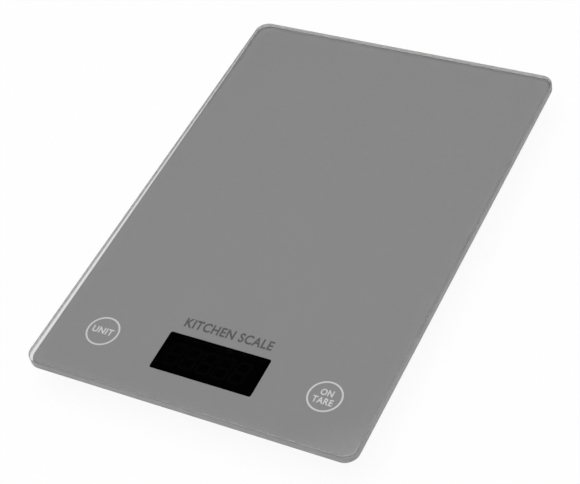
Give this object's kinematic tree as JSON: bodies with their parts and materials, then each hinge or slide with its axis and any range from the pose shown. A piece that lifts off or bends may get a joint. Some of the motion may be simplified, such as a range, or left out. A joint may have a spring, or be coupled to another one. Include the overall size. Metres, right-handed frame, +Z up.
{
  "type": "kitchen scale",
  "caption": "Slim electronic kitchen scale: a flat grey-backed glass plate with a display window and two touch keys on a low housing that stands on springy load-cell feet.",
  "frame": {"origin": "on the floor, under the middle of the glass plate", "axes": "+X to the right, +Y from the display to the back, +Z up"},
  "size_m": [0.151, 0.22, 0.017],
  "materials": {
    "glass": "clear tempered float glass, polished edges",
    "grey_print": "silver-grey screen print on the back of the glass",
    "foam_tape": "white double-sided foam tape",
    "housing_plastic": "moulded ABS, fine satin texture",
    "cover_plastic": "moulded ABS, fine satin texture",
    "foot_plastic": "moulded ABS, satin",
    "foot_rubber": "matte black rubber",
    "screw_steel": "nickel-plated steel",
    "cell_steel": "stamped spring steel",
    "gauge_film": "amber polyimide film",
    "board_laminate": "green solder mask on glass-fibre laminate",
    "chip_resin": "black potting resin",
    "display_glass": "black liquid-crystal panel",
    "light_guide": "opal white acrylic light guide",
    "frame_plastic": "white moulded ABS",
    "connector_rubber": "layered conductive silicone",
    "spring_steel": "nickel-plated spring steel",
    "coin_cell_steel": "nickel-plated stainless can",
    "white_lead": "white PVC sleeve",
    "black_lead": "black PVC sleeve",
    "red_lead": "red PVC sleeve"
  },
  "bodies": {
    "body": {"glass_platform": "glass", "printed_layer": "grey_print", "bonding_tape": "foam_tape", "upper_housing": "housing_plastic", "bottom_cover": "cover_plastic", "circuit_board": "board_laminate", "controller_chip": "chip_resin", "lcd_panel": "display_glass", "lcd_backlight": "light_guide", "zebra_connector": "connector_rubber", "lcd_frame": "frame_plastic", "touch_spring_unit": "spring_steel", "touch_spring_tare": "spring_steel", "coin_cell": "coin_cell_steel", "contact_negative": "spring_steel", "contact_positive": "spring_steel", "battery_lead_negative": "black_lead", "battery_lead_positive": "red_lead", "cover_screw_1": "screw_steel", "cover_screw_2": "screw_steel", "cover_screw_3": "screw_steel", "cover_screw_4": "screw_steel", "cover_screw_5": "screw_steel", "cover_screw_6": "screw_steel", "board_screw_1": "screw_steel", "board_screw_2": "screw_steel", "board_screw_3": "screw_steel", "board_screw_4": "screw_steel", "load_cell_front_left": "cell_steel", "load_cell_front_right": "cell_steel", "load_cell_back_left": "cell_steel", "load_cell_back_right": "cell_steel", "strain_gauge_front_left": "gauge_film", "strain_gauge_front_right": "gauge_film", "strain_gauge_back_left": "gauge_film", "strain_gauge_back_right": "gauge_film", "load_cell_lead_front_left": "white_lead", "load_cell_lead_front_right": "white_lead", "load_cell_lead_back_left": "white_lead", "load_cell_lead_back_right": "white_lead"},
    "foot_front_left": {"foot_cap_front_left": "foot_plastic", "foot_pad_front_left": "foot_rubber"},
    "foot_front_right": {"foot_cap_front_right": "foot_plastic", "foot_pad_front_right": "foot_rubber"},
    "foot_back_left": {"foot_cap_back_left": "foot_plastic", "foot_pad_back_left": "foot_rubber"},
    "foot_back_right": {"foot_cap_back_right": "foot_plastic", "foot_pad_back_right": "foot_rubber"},
    "door": {"battery_door": "cover_plastic"}
  },
  "joints": [
    {"name": "battery_door_hinge", "type": "hinge", "parent": "body", "child": "door", "pos_m": [0, 0.0445, 0.0039], "axis": [1, 0, 0], "range_deg": [0, 100]},
    {"name": "foot_front_left_press", "type": "slide", "parent": "body", "child": "foot_front_left", "axis": [0, 0, 1], "range_m": [0, 0.00025], "stiffness_N_per_m": 100},
    {"name": "foot_front_right_press", "type": "slide", "parent": "body", "child": "foot_front_right", "axis": [0, 0, 1], "range_m": [0, 0.00025], "stiffness_N_per_m": 100},
    {"name": "foot_back_left_press", "type": "slide", "parent": "body", "child": "foot_back_left", "axis": [0, 0, 1], "range_m": [0, 0.00025], "stiffness_N_per_m": 100},
    {"name": "foot_back_right_press", "type": "slide", "parent": "body", "child": "foot_back_right", "axis": [0, 0, 1], "range_m": [0, 0.00025], "stiffness_N_per_m": 100}
  ]
}
